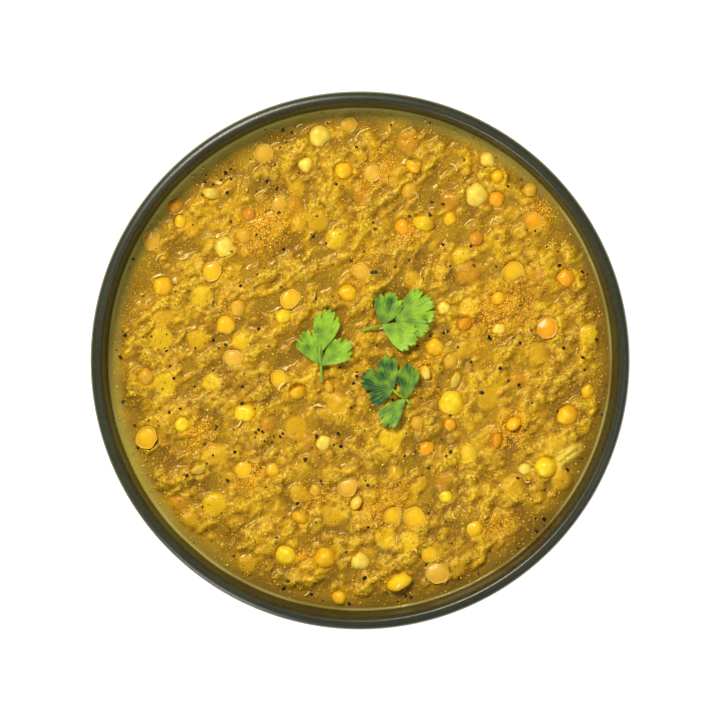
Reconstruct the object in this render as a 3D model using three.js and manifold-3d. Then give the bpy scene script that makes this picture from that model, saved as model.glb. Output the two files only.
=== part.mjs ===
// A bowl of dal: a glazed stoneware bowl on a foot ring, the dal that fills it nearly to the rim,
// and three coriander leaves that lie on top. Millimetres, +Z up, and the origin is the middle of
// the circle that the foot ring stands on.
import * as THREE from "three";
import { mergeVertices } from "three/addons/utils/BufferGeometryUtils.js";
import Module from "manifold-3d";

const wasm = await Module();
wasm.setup();

// Bowl
const RIM_RADIUS = 80;
const BOWL_HEIGHT = 58;
const LIP_THICKNESS = 3.8;
const WALL_AT_FOOT = 5;
const FLOOR_HEIGHT = 7;
const FOOT_RADIUS = 35;
const FOOT_WIDTH = 5;
const FOOT_HEIGHT = 7;
const FOOT_RECESS = 2.5;
const FOOT_FLARE = 0.6;
const FOOT_ANGLE = THREE.MathUtils.degToRad(62.6);
const HOLLOW_STEPS = 10;
const WALL_STEPS = 8;
const LIP_STEPS = 6;

// Dal
const DAL_BELOW_RIM = 9;
const DAL_RINGS = 18;
const SPOON_RIDGE_ANGLE = THREE.MathUtils.degToRad(38);
const SPOON_RIDGE_PITCH = 15;
const SPOON_RIDGE_HEIGHT = 0.6;
const RIDGE_WOBBLE = 2.5;
const RIDGE_WOBBLE_LENGTH = 9;
const RIDGE_SWAY = 1.5;
const RIDGE_SWAY_LENGTH = 23;
const LUMP_PITCH = 10;
const LUMP_HEIGHT = 0.45;
const LUMP_DRIFT_LENGTH = 6;
const HEAP_HEIGHT = 0.8;
const CALM_BORDER = 9;
const FLAT_BORDER = 1;
const MENISCUS_HEIGHT = 0.7;
const MENISCUS_WIDTH = 2.5;

// Coriander leaves
const LEAF_THICKNESS = 0.7;
const LEAF_LIFT = 0.35;
const BLADE_CURL = 1.1;
const BLADE_STEPS_ACROSS = 8;
const BLADE_STEPS_ALONG = 3;
const BLADE_TEETH = 4;
const TOOTH_DEPTH = 0.07;
const NECK_HALF_WIDTH = 0.45;
const STALK_RADIUS = 0.45;
const STALK_SIDES = 6;
const STALK_STEPS = 4;

// Clearance between pieces that rest on each other
const GAP = 0.3;

// Points nearer than this are one point, and a point this near the dal's level is on its top face
const WELD_DISTANCE = 1e-4;
const LEVEL_TOLERANCE = 0.01;

// Facets round the bowl and the dal, the same for both so that their walls stay parallel
const SEGMENTS = 60;

const LIP_RADIUS = LIP_THICKNESS / 2;
const LIP_CENTRE_HEIGHT = BOWL_HEIGHT - LIP_RADIUS;
const HOLLOW_RADIUS = RIM_RADIUS - LIP_THICKNESS;
const HOLLOW_DEPTH = LIP_CENTRE_HEIGHT - FLOOR_HEIGHT;
const DAL_LEVEL = BOWL_HEIGHT - DAL_BELOW_RIM;

// Each blade is a fan: its base relative to the leaf's fork, the bearing it points in, its length,
// half its spread in degrees, and how much shorter its sides are than its middle.
const LEAVES = [
  {
    name: "coriander_leaf_left",
    fork: [-11.7, -1.1],
    stalks: [[[0.4, -5.0], [0.1, -2.4], [0, 0]], [[0, 0], [-0.4, 3.2], [-0.2, 6.2]]],
    blades: [
      { base: [0, 0], bearing: 134, length: 9.8, spread: 26, taper: 0.15 },
      { base: [-0.2, 5.6], bearing: 76, length: 11.4, spread: 48, taper: 0.45 },
      { base: [0.2, 0.3], bearing: 32, length: 10.8, spread: 38, taper: 0.35 },
    ],
  },
  {
    name: "coriander_leaf_right",
    fork: [6.8, 10.5],
    stalks: [[[-6.0, -1.4], [-3.0, -0.6], [0, 0]], [[0, 0], [3.8, 0.5], [7.2, 1.1]]],
    blades: [
      { base: [0, 0.3], bearing: 79, length: 9.8, spread: 33, taper: 0.2 },
      { base: [7.0, 1.2], bearing: 44, length: 9.6, spread: 44, taper: 0.1 },
      { base: [7.6, 1.0], bearing: -16, length: 6.6, spread: 27, taper: 0.2 },
      { base: [0, -0.2], bearing: -36, length: 10.2, spread: 38, taper: 0.25 },
    ],
  },
  {
    name: "coriander_leaf_front",
    fork: [13.7, -11.5],
    stalks: [[[2.1, -1.8], [1.0, -0.9], [0, 0]], [[0, 0], [-2.2, 1.4], [-4.2, 3.1]]],
    blades: [
      { base: [-0.1, 0.2], bearing: 92, length: 10.2, spread: 38, taper: 0.3 },
      { base: [-4.2, 3.5], bearing: 104, length: 8.6, spread: 32, taper: 0.2 },
      { base: [-4.2, 3.2], bearing: 156, length: 7.8, spread: 28, taper: 0.15 },
      { base: [-4.2, 3.0], bearing: 212, length: 7.0, spread: 32, taper: 0.15 },
      { base: [-0.4, 0.1], bearing: 214, length: 9.6, spread: 20, taper: 0.2 },
    ],
  },
];

const glazeMaterial = new THREE.MeshStandardMaterial({ color: 0x343325, roughness: 0.2, metalness: 0 });
const dalMaterial = new THREE.MeshStandardMaterial({ color: 0xc4952a, roughness: 0.35, metalness: 0 });
const leafMaterial = new THREE.MeshStandardMaterial({ color: 0x86b83a, roughness: 0.45, metalness: 0 });

// A point of the bowl's hollow, an ellipse from the lip (angle 0) to the middle of the floor
// (a quarter turn), moved outwards along its normal.
function hollowPoint(angle, outwards) {
  const normal = new THREE.Vector2(Math.cos(angle) / HOLLOW_RADIUS, -Math.sin(angle) / HOLLOW_DEPTH);
  normal.normalize().multiplyScalar(outwards);
  const x = HOLLOW_RADIUS * Math.cos(angle);
  const y = LIP_CENTRE_HEIGHT - HOLLOW_DEPTH * Math.sin(angle);
  return new THREE.Vector2(x, y).add(normal);
}

function hollowCurve(fromAngle, toAngle, steps, outwards) {
  const points = [];
  for (let i = 0; i <= steps; i += 1) {
    const angle = THREE.MathUtils.lerp(fromAngle, toAngle, i / steps);
    points.push(hollowPoint(angle, outwards(angle)));
  }
  return points;
}

// A solid turned about the vertical axis.
function turned(points) {
  return new THREE.LatheGeometry(points, SEGMENTS).rotateX(Math.PI / 2);
}

function bowl() {
  const wall = (angle) => THREE.MathUtils.lerp(LIP_THICKNESS, WALL_AT_FOOT, angle / FOOT_ANGLE);
  const foot = [
    new THREE.Vector2(0, FOOT_RECESS),
    new THREE.Vector2(FOOT_RADIUS - FOOT_WIDTH - FOOT_FLARE, FOOT_RECESS),
    new THREE.Vector2(FOOT_RADIUS - FOOT_WIDTH, 0),
    new THREE.Vector2(FOOT_RADIUS, 0),
    new THREE.Vector2(FOOT_RADIUS + FOOT_FLARE, FOOT_HEIGHT),
  ];
  const outside = hollowCurve(FOOT_ANGLE, 0, WALL_STEPS, wall);
  const lipCentre = RIM_RADIUS - LIP_RADIUS;
  const lip = new THREE.EllipseCurve(lipCentre, LIP_CENTRE_HEIGHT, LIP_RADIUS, LIP_RADIUS, 0, Math.PI);
  const inside = hollowCurve(0, Math.PI / 2, HOLLOW_STEPS, () => 0);
  inside[inside.length - 1].x = 0;
  const profile = [...foot, ...outside, ...lip.getPoints(LIP_STEPS).slice(1, -1), ...inside];
  return new THREE.Mesh(turned(profile), glazeMaterial);
}

// Height of the dal over its level: a low heap, slanting ridges that the spoon left, lumps that
// break them up, a calm border and a rim drawn up the wall.
function relief(x, y, edge) {
  const along = x * Math.cos(SPOON_RIDGE_ANGLE) + y * Math.sin(SPOON_RIDGE_ANGLE);
  const across = y * Math.cos(SPOON_RIDGE_ANGLE) - x * Math.sin(SPOON_RIDGE_ANGLE);
  const wobble = RIDGE_WOBBLE * Math.sin(along / RIDGE_WOBBLE_LENGTH);
  const bent = across + wobble + RIDGE_SWAY * Math.sin(along / RIDGE_SWAY_LENGTH);
  const ridges = SPOON_RIDGE_HEIGHT * Math.sin((2 * Math.PI * bent) / SPOON_RIDGE_PITCH);
  const turn = (2 * Math.PI) / LUMP_PITCH;
  const drift = Math.sin(across / LUMP_DRIFT_LENGTH);
  const lumps = LUMP_HEIGHT * Math.sin(turn * along + drift) * Math.cos(turn * across);
  const radius = Math.hypot(x, y);
  const calm = 1 - THREE.MathUtils.smoothstep(radius, edge - CALM_BORDER, edge - FLAT_BORDER);
  const heap = HEAP_HEIGHT * Math.cos((Math.PI * radius) / (2 * edge));
  const meniscus = MENISCUS_HEIGHT * THREE.MathUtils.smoothstep(radius, edge - MENISCUS_WIDTH, edge);
  return heap + calm * (ridges + lumps) + meniscus;
}

function dal() {
  const edgeAngle = Math.asin((LIP_CENTRE_HEIGHT - DAL_LEVEL) / HOLLOW_DEPTH);
  const step = Math.PI / 2 / HOLLOW_STEPS;
  const underside = hollowCurve(Math.PI / 2, 2 * step, HOLLOW_STEPS - 2, () => -GAP);
  underside[0].x = 0;
  const corner = hollowPoint(edgeAngle, -GAP);
  corner.y = DAL_LEVEL;
  underside.push(corner);
  const top = [];
  for (let ring = DAL_RINGS - 1; ring >= 0; ring -= 1) {
    top.push(new THREE.Vector2((corner.x * ring) / DAL_RINGS, DAL_LEVEL));
  }
  const geometry = turned([...underside, ...top]);
  const place = geometry.attributes.position;
  for (let i = 0; i < place.count; i += 1) {
    if (place.getZ(i) > DAL_LEVEL - LEVEL_TOLERANCE) {
      place.setZ(i, DAL_LEVEL + relief(place.getX(i), place.getY(i), corner.x));
    }
  }
  return new THREE.Mesh(geometry, dalMaterial);
}

const dalMesh = dal();

// The height of the dal's top face under a point, so that a leaf can be laid on it.
const plumbLine = new THREE.Raycaster();
function dalHeight(x, y) {
  plumbLine.set(new THREE.Vector3(x, y, BOWL_HEIGHT), new THREE.Vector3(0, 0, -1));
  return plumbLine.intersectObject(dalMesh)[0].point.z;
}

// A flat block bent into a fan: v runs from its neck to its toothed edge, u from side to side.
function blade(fork, { base, bearing, length, spread, taper }) {
  const geometry = new THREE.BoxGeometry(
    2, 1, LEAF_THICKNESS, BLADE_STEPS_ACROSS, BLADE_STEPS_ALONG, 1,
  );
  const place = geometry.attributes.position;
  const point = new THREE.Vector3();
  const middle = THREE.MathUtils.degToRad(bearing);
  for (let i = 0; i < place.count; i += 1) {
    point.fromBufferAttribute(place, i);
    const u = point.x;
    const v = point.y + 0.5;
    const direction = middle - u * THREE.MathUtils.degToRad(spread);
    const tooth = TOOTH_DEPTH * v * v * Math.cos(BLADE_TEETH * Math.PI * u);
    const reach = length * v * (1 - taper * u * u) * (1 + tooth);
    const neck = u * NECK_HALF_WIDTH * (1 - v);
    const x = fork[0] + base[0] + neck * Math.sin(middle) + reach * Math.cos(direction);
    const y = fork[1] + base[1] - neck * Math.cos(middle) + reach * Math.sin(direction);
    const lift = LEAF_LIFT + BLADE_CURL * v * v;
    place.setXYZ(i, x, y, dalHeight(x, y) + GAP + lift + LEAF_THICKNESS / 2 + point.z);
  }
  return geometry;
}

// A round stalk through points given relative to the leaf's fork.
function stalk(fork, points) {
  const ring = new THREE.EllipseCurve(0, 0, STALK_RADIUS, STALK_RADIUS);
  const section = new THREE.Shape(ring.getPoints(STALK_SIDES).slice(0, -1));
  const route = points.map(([dx, dy]) => {
    const x = fork[0] + dx;
    const y = fork[1] + dy;
    return new THREE.Vector3(x, y, dalHeight(x, y) + GAP + LEAF_LIFT + STALK_RADIUS);
  });
  const extrudePath = new THREE.CatmullRomCurve3(route);
  return new THREE.ExtrudeGeometry(section, { steps: STALK_STEPS, extrudePath });
}

function solidOf(geometry) {
  geometry.deleteAttribute("normal");
  geometry.deleteAttribute("uv");
  const welded = mergeVertices(geometry, WELD_DISTANCE);
  const vertProperties = new Float32Array(welded.attributes.position.array);
  const triVerts = new Uint32Array(welded.index.array);
  return new wasm.Manifold(new wasm.Mesh({ numProp: 3, vertProperties, triVerts }));
}

function geometryOf(solid) {
  const { vertProperties, triVerts } = solid.getMesh();
  const geometry = new THREE.BufferGeometry();
  geometry.setAttribute("position", new THREE.BufferAttribute(vertProperties, 3));
  geometry.setIndex(new THREE.BufferAttribute(triVerts, 1));
  return geometry;
}

// A coriander leaf: its blades and stalks joined into one body.
function leaf({ fork, stalks, blades }) {
  const solids = [
    ...blades.map((shape) => solidOf(blade(fork, shape))),
    ...stalks.map((points) => solidOf(stalk(fork, points))),
  ];
  const whole = solids.reduce((joined, solid) => joined.add(solid));
  return new THREE.Mesh(geometryOf(whole), leafMaterial);
}

const group = new THREE.Group();
const bowlMesh = bowl();
bowlMesh.name = "bowl";
dalMesh.name = "dal";
group.add(bowlMesh, dalMesh);
for (const shape of LEAVES) {
  const mesh = leaf(shape);
  mesh.name = shape.name;
  group.add(mesh);
}

export default group;
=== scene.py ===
# %% [markdown]
# # A bowl of dal
# Thick split-pea dal fills a dark glazed stoneware bowl, and three coriander leaves lie on top.
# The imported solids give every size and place. This lesson loads them, builds the fine surfaces
# where they lie, and gives each one the finish of the real thing. Lengths are millimetres while a
# piece is being shaped, and one function turns them into the frame's metres at the end.

import math

import bmesh
import bpy
import numpy as np
from mathutils import Euler, Matrix, Vector, noise
from mathutils.bvhtree import BVHTree


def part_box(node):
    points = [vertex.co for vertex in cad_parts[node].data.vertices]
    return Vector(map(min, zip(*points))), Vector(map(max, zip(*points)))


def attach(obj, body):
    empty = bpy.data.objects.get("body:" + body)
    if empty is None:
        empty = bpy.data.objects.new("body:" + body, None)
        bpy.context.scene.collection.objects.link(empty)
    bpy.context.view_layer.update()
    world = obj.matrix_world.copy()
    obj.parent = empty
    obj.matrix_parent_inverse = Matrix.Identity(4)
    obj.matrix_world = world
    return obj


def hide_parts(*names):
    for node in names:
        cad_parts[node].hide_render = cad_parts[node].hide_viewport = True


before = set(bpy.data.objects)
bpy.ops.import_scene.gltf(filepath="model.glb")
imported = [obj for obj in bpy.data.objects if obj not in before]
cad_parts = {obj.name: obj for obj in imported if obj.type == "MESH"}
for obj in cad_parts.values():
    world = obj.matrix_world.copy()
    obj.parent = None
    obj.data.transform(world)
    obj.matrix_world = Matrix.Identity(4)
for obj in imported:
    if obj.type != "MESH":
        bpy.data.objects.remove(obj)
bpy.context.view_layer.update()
print("solids:", sorted(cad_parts))

# %% Sizes that the solids give
MM = 0.001
bowl_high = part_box("bowl")[1] / MM
dal_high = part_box("dal")[1] / MM
RIM_RADIUS = bowl_high.x
BOWL_HEIGHT = bowl_high.z
DAL_LEVEL = BOWL_HEIGHT - 9
print(f"rim {RIM_RADIUS:.1f} mm, height {BOWL_HEIGHT:.1f} mm, dal level {DAL_LEVEL:.1f} mm")

# %% [markdown]
# ## Tools for every material
# A shader tree is a list of nodes with settings and links. One function adds any node, and
# another turns the hex colours that people read into the linear ones that light obeys. The rest
# are the few nodes that every material here needs: noise of a size in millimetres, a value moved
# from one range to another, a value stored on the mesh, a product, and a blend of two colours.

# %% One function for a node, one for a colour
MIX_FACTOR, MIX_A, MIX_B, MIX_RESULT = 0, 6, 7, 2


def add(material, kind, inputs, **settings):
    """Add a node, set its settings, then fill its sockets with values or with links."""
    node = material.node_tree.nodes.new(kind)
    for setting, value in settings.items():
        setattr(node, setting, value)
    for socket, value in inputs.items():
        if isinstance(value, bpy.types.NodeSocket):
            material.node_tree.links.new(value, node.inputs[socket])
        else:
            node.inputs[socket].default_value = value
    return node


def linear(hex_colour):
    """An sRGB hex colour as linear red, green, blue and alpha."""
    shares = [int(hex_colour[i:i + 2], 16) / 255 for i in (1, 3, 5)]
    return [s / 12.92 if s <= 0.04045 else ((s + 0.055) / 1.055) ** 2.4 for s in shares] + [1]


def blank_material(name, constants):
    """A material with only its output and its Principled shader, set to these constants."""
    material = bpy.data.materials.new(name)
    material.use_nodes = True
    shader = material.node_tree.nodes["Principled BSDF"]
    for socket, value in constants.items():
        shader.inputs[socket].default_value = value
    return material, shader


def plug(material, socket, value):
    """Link a value to a socket of the shader."""
    material.node_tree.links.new(value, socket)


# %% The nodes that every material needs
def speckle(material, size_mm, detail, roughness=0.5):
    """Noise with features about this many millimetres across, fixed to the piece."""
    place = add(material, "ShaderNodeTexCoord", {})
    return add(material, "ShaderNodeTexNoise", {
        "Vector": place.outputs["Object"], "Scale": 1 / (size_mm * MM),
        "Detail": detail, "Roughness": roughness,
    }).outputs["Fac"]


def ramp(material, value, low, high, to_low=0, to_high=1):
    """Move a value from one range to another, held at both ends."""
    return add(material, "ShaderNodeMapRange", {
        "Value": value, "From Min": low, "From Max": high, "To Min": to_low, "To Max": to_high,
    }).outputs["Result"]


def stored(material, name, output="Fac"):
    """A number or a colour that the mesh stores for each vertex."""
    return add(material, "ShaderNodeAttribute", {}, attribute_name=name).outputs[output]


def times(material, one, other):
    """The product of two numbers."""
    return add(material, "ShaderNodeMath", {0: one, 1: other}, operation="MULTIPLY").outputs["Value"]


def blend(material, share, under, over):
    """A share of one colour over another, each a hex colour or the output of a node."""
    under, over = (linear(colour) if isinstance(colour, str) else colour for colour in (under, over))
    mix = add(material, "ShaderNodeMix", {
        MIX_FACTOR: share, MIX_A: under, MIX_B: over,
    }, data_type="RGBA")
    return mix.outputs[MIX_RESULT]


# %% [markdown]
# ## Tools for every piece
# A finished piece is a mesh in metres whose object stays at the origin, riding on the one body
# that the solids have. Small things that come in crowds are one mesh of many copies, built from
# arrays, because a crowd of separate objects is slow to handle and instances are lost on export.

# %% Finish a piece
def finish(mesh, name, material, replaced=()):
    """Put a mesh, made in millimetres, into the scene as a piece of the object."""
    mesh.transform(Matrix.Scale(MM, 4))
    mesh.name = name
    mesh.materials.append(material)
    mesh.shade_smooth()
    piece = bpy.data.objects.new(name, mesh)
    bpy.context.scene.collection.objects.link(piece)
    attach(piece, "root")
    if replaced:
        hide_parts(*replaced)
    triangles = sum(len(face.vertices) - 2 for face in mesh.polygons)
    print(f"{name}: {triangles} triangles")
    return piece


def mesh_of(bm):
    """A mesh from a closed bmesh, with its doubles merged and its faces turned outwards."""
    bmesh.ops.remove_doubles(bm, verts=bm.verts, dist=1e-4)
    bmesh.ops.recalc_face_normals(bm, faces=bm.faces)
    mesh = bpy.data.meshes.new("shape")
    bm.to_mesh(mesh)
    bm.free()
    return mesh


# %% Store values on a mesh, and copy a small shape many times
DENT_DETAIL = 3.1
DENT_STEP = 7.3
RIM_REACH = 0.465
RIM_LEVEL = 0.04


def mark(mesh, name, values):
    """Store a number, or a colour, for each vertex."""
    values = np.asarray(values, dtype=np.float32)
    is_colour = values.ndim == 2
    kind = "FLOAT_COLOR" if is_colour else "FLOAT"
    layer = mesh.attributes.new(name, kind, "POINT")
    layer.data.foreach_set("color" if is_colour else "value", values.ravel())


def copies(shape, places, tints, roughness=0.0, rimmed=False):
    """One mesh of a small shape at every place, each with its own tint and its own dents."""
    bmesh.ops.triangulate(shape, faces=shape.faces)
    points = np.array([vert.co for vert in shape.verts])
    faces = np.array([[vert.index for vert in face.verts] for face in shape.faces])
    shape.free()
    everything = []
    for number, place in enumerate(places):
        here = points
        if roughness:
            shift = Vector((number * DENT_STEP, 0, 0))
            dents = [noise.noise(Vector(point) * DENT_DETAIL + shift) for point in points]
            here = points * (1 + roughness * np.array(dents))[:, None]
        turn = np.array(place.to_3x3())
        everything.append(here @ turn.T + np.array(place.translation))
    offsets = (np.arange(len(places)) * len(points))[:, None, None]
    mesh = bpy.data.meshes.new("copies")
    mesh.from_pydata(np.concatenate(everything), [], (faces[None] + offsets).reshape(-1, 3))
    mark(mesh, "tint", np.repeat([linear(tint) for tint in tints], len(points), axis=0))
    reach = np.hypot(points[:, 0], points[:, 1])
    mark(mesh, "reach", np.tile(reach, len(places)))
    on_rim = rimmed & (reach > RIM_REACH) & (points[:, 2] > RIM_LEVEL)
    mark(mesh, "rim", np.tile(on_rim, len(places)))
    return mesh


# %% [markdown]
# ## Camera and light
# The bowl is seen from straight above, leaning back by a few degrees, through a long lens that
# keeps its sides nearly upright. Soft studio lights stand round it: a key light at the upper left
# that models every lump, a low one at the lower left and one high at the right that draw the thin
# bright lines along the lip. The table is plain and pale.

# %% Camera
camera_lens = 150
camera_sensor = 36
camera_distance = 0.890
camera_lean = math.radians(3.3)
aim_shift = 0.5
rim_centre = Vector((0, 0, (BOWL_HEIGHT - 2) * MM))

camera = bpy.data.objects.new("camera", bpy.data.cameras.new("camera"))
camera.data.lens = camera_lens
camera.data.sensor_width = camera_sensor
camera.rotation_euler = (-camera_lean, 0, 0)
aim = rim_centre + Vector((0, aim_shift * MM, 0))
camera.location = aim + camera_distance * Vector((0, math.sin(camera_lean), math.cos(camera_lean)))
bpy.context.scene.collection.objects.link(camera)
bpy.context.scene.camera = camera


# %% Lights and table
def softbox(name, bearing, elevation, size, power, tint, distance=1.1):
    """A square area light that faces the bowl from a bearing and an elevation in degrees."""
    light = bpy.data.lights.new(name, "AREA")
    light.size = size
    light.energy = power
    light.color = linear(tint)[:3]
    lamp = bpy.data.objects.new(name, light)
    turn, rise = math.radians(bearing), math.radians(elevation)
    aim = Vector((math.cos(turn) * math.cos(rise), math.sin(turn) * math.cos(rise), math.sin(rise)))
    lamp.location = rim_centre + aim * distance
    lamp.rotation_euler = aim.to_track_quat("Z", "Y").to_euler()
    bpy.context.scene.collection.objects.link(lamp)


KEY_BEARING = 121
softbox("key", KEY_BEARING, 53, 0.32, 11, "#fff8ec")
softbox("right", 335, 50, 0.6, 1.2, "#ffffff")
softbox("low_left", 240, 18, 0.4, 4.5, "#f4f8ff")

world = bpy.data.worlds.new("studio")
world.use_nodes = True
world.node_tree.nodes["Background"].inputs["Color"].default_value = linear("#ffffff")
world.node_tree.nodes["Background"].inputs["Strength"].default_value = 0.29
bpy.context.scene.world = world
bpy.context.scene.view_settings.view_transform = "Standard"

table_paint, _ = blank_material("matt_white_table", {
    "Base Color": linear("#e4e4e2"), "Roughness": 0.9,
    "Emission Color": linear("#ffffff"), "Emission Strength": 0.78,
})
bm = bmesh.new()
bmesh.ops.create_grid(bm, x_segments=1, y_segments=1, size=2)
table_mesh = bpy.data.meshes.new("table")
bm.to_mesh(table_mesh)
bm.free()
table_mesh.materials.append(table_paint)
table = bpy.data.objects.new("table", table_mesh)
bpy.context.scene.collection.objects.link(table)

# %% [markdown]
# ## The bowl
# A stoneware bowl is thrown on a wheel, so its shape is one outline turned about its axis. The
# outline could be a list of points, but the hollow is close to half an ellipse, so an angle along
# it gives every point, and moving out along its normal gives the outer wall. Spinning the outline
# makes the bowl.

# %% Outline of the hollow
LIP_THICKNESS = 3.8
LIP_RADIUS = LIP_THICKNESS / 2
LIP_CENTRE_HEIGHT = BOWL_HEIGHT - LIP_RADIUS
HOLLOW_RADIUS = RIM_RADIUS - LIP_THICKNESS
LIP_CREST = HOLLOW_RADIUS + 1.5
FLOOR_HEIGHT = 7
HOLLOW_DEPTH = LIP_CENTRE_HEIGHT - FLOOR_HEIGHT
WALL_AT_FOOT = 5
FOOT_ANGLE = math.radians(62.6)
FOOT_RADIUS, FOOT_WIDTH, FOOT_HEIGHT, FOOT_RECESS = 35, 5, 7, 2.5


def hollow_point(angle, outwards=0.0):
    """Radius and height on the hollow, from the lip at 0 to the floor's middle at a quarter turn."""
    normal = Vector((math.cos(angle) / HOLLOW_RADIUS, -math.sin(angle) / HOLLOW_DEPTH)).normalized()
    radius = HOLLOW_RADIUS * math.cos(angle) + outwards * normal.x
    height = LIP_CENTRE_HEIGHT - HOLLOW_DEPTH * math.sin(angle) + outwards * normal.y
    return radius, height


# %% Spin the outline
def bowl_outline():
    """The section from the middle of the foot, up the outside, over the lip and down the hollow."""
    recess = FOOT_RADIUS - FOOT_WIDTH
    points = [(0, FOOT_RECESS), (recess - 1.5, FOOT_RECESS), (recess - 0.6, FOOT_RECESS - 0.6)]
    points += [(recess, 0.5), (recess + 0.5, 0), (FOOT_RADIUS - 0.6, 0), (FOOT_RADIUS, 0.6)]
    points += [(FOOT_RADIUS + 0.5, FOOT_HEIGHT - 1.2)]
    for angle in np.linspace(FOOT_ANGLE, 0, 40):
        wall = LIP_THICKNESS + (WALL_AT_FOOT - LIP_THICKNESS) * angle / FOOT_ANGLE
        points.append(hollow_point(angle, wall))
    for angle in np.linspace(0, math.pi, 20)[1:-1]:
        reach = RIM_RADIUS - LIP_CREST if angle < math.pi / 2 else LIP_CREST - HOLLOW_RADIUS
        height = LIP_CENTRE_HEIGHT + LIP_RADIUS * math.sin(angle)
        points.append((LIP_CREST + reach * math.cos(angle), height))
    points += [hollow_point(angle) for angle in np.linspace(0, math.pi / 2, 36)[:-1]]
    return points + [(0, FLOOR_HEIGHT)]


def spun(points, steps):
    """A closed bmesh from an outline that starts and ends on the axis."""
    shape = bmesh.new()
    verts = [shape.verts.new((radius, 0, height)) for radius, height in points]
    edges = [shape.edges.new(pair) for pair in zip(verts, verts[1:])]
    bmesh.ops.spin(
        shape, geom=verts + edges, cent=(0, 0, 0), axis=(0, 0, 1), angle=2 * math.pi,
        steps=steps, use_merge=True,
    )
    bmesh.ops.remove_doubles(shape, verts=shape.verts, dist=1e-5)
    bmesh.ops.recalc_face_normals(shape, faces=shape.faces)
    return shape


def inside_share(point):
    """1 on the face of the hollow and 0 on the outer wall, with a blend over the lip."""
    depth = min(max((LIP_CENTRE_HEIGHT - point.z) / HOLLOW_DEPTH, 0), 1)
    past_wall = math.hypot(point.x, point.y) - HOLLOW_RADIUS * math.sqrt(1 - depth ** 2)
    return 0 if point.z < FLOOR_HEIGHT - 0.5 else min(max((1.2 - past_wall) / 1.6, 0), 1)


bowl_mesh = mesh_of(spun(bowl_outline(), steps=240))
mark(bowl_mesh, "inside", [inside_share(vert.co) for vert in bowl_mesh.vertices])
print("bowl outline:", len(bowl_outline()), "points")

# %% [markdown]
# ### Dark reactive glaze on stoneware
# Stoneware dipped in an iron glaze comes out of the kiln nearly black where the glaze is thick,
# olive brown and mottled inside, and greenish grey where it runs thin over the lip. A fine pale
# line runs along the lip's outer edge. It is glass, so it has an IOR of 1.5 and is smooth, with
# fine pits that break up its reflections. The foot ring is wiped clean before firing and shows
# bare, rough clay.

# %% Glaze
LIP_GLAZE_DEPTH = 1.6
EDGE_WIDTH, EDGE_BLEND = 0.6, 0.25
BARE_CLAY_HEIGHT, GLAZE_LINE_HEIGHT = 1.0, 1.6

glaze, shader = blank_material("reactive_iron_glaze_on_stoneware", {"IOR": 1.5})
spots = ramp(glaze, speckle(glaze, 1.1, 3, 0.6), 0.42, 0.66)
inside_colour = blend(glaze, spots, "#2c280f", "#4f4318")
outside_colour = blend(glaze, spots, "#191a0f", "#2d2d1c")
wall_colour = blend(glaze, stored(glaze, "inside"), outside_colour, inside_colour)

place = add(glaze, "ShaderNodeTexCoord", {})
split = add(glaze, "ShaderNodeSeparateXYZ", {"Vector": place.outputs["Object"]})
flat_place = add(glaze, "ShaderNodeCombineXYZ", {"X": split.outputs["X"], "Y": split.outputs["Y"]})
radius = add(glaze, "ShaderNodeVectorMath", {0: flat_place.outputs["Vector"]}, operation="LENGTH")
reach, level = radius.outputs["Value"], split.outputs["Z"]
lip_rise = ramp(glaze, level, (BOWL_HEIGHT - LIP_GLAZE_DEPTH) * MM, BOWL_HEIGHT * MM)
lip_share = times(glaze, lip_rise, speckle(glaze, 14, 2))
glaze_colour = blend(glaze, lip_share, wall_colour, "#3c4024")
edge_reach = ramp(glaze, reach, (RIM_RADIUS - EDGE_WIDTH) * MM, (RIM_RADIUS - EDGE_BLEND) * MM, 0, 0.8)
edge_rise = ramp(glaze, level, (LIP_CENTRE_HEIGHT - 0.8) * MM, (LIP_CENTRE_HEIGHT - 0.2) * MM)
edged = blend(glaze, times(glaze, edge_reach, edge_rise), glaze_colour, "#8e8658")
clay_share = ramp(glaze, level, GLAZE_LINE_HEIGHT * MM, BARE_CLAY_HEIGHT * MM)
plug(glaze, shader.inputs["Base Color"], blend(glaze, clay_share, edged, "#94826a"))

pits = speckle(glaze, 0.5, 2)
roughness = add(glaze, "ShaderNodeMath", {
    0: ramp(glaze, pits, 0, 1, 0.22, 0.44), 1: clay_share,
}, operation="MAXIMUM")
plug(glaze, shader.inputs["Roughness"], roughness.outputs["Value"])
bump = add(glaze, "ShaderNodeBump", {"Height": pits, "Strength": 0.25, "Distance": 0.05 * MM})
plug(glaze, shader.inputs["Normal"], bump.outputs["Normal"])

finish(bowl_mesh, "stoneware_bowl", glaze, ["bowl"])

# %% [markdown]
# ## Where the peas lie
# Most split peas have boiled down to mash, but some have kept their shape. A few are whole, most
# are halves: dome up, or flat side up with a rim of pale skin, or on edge. The few that catch the
# eye are listed one by one, each by a bearing and a share of the dal's radius. A seeded scatter
# throws the rest, in sight or under a film of sauce, clear of the leaves and of one another.

# %% Colours of cooked peas
PALE, YELLOW, AMBER, ORANGE = "#f9e45c", "#ffe022", "#fcc81c", "#f4ac18"
BROWN, TAN, PINK = "#cf9020", "#dcb030", "#e8bc40"

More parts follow.
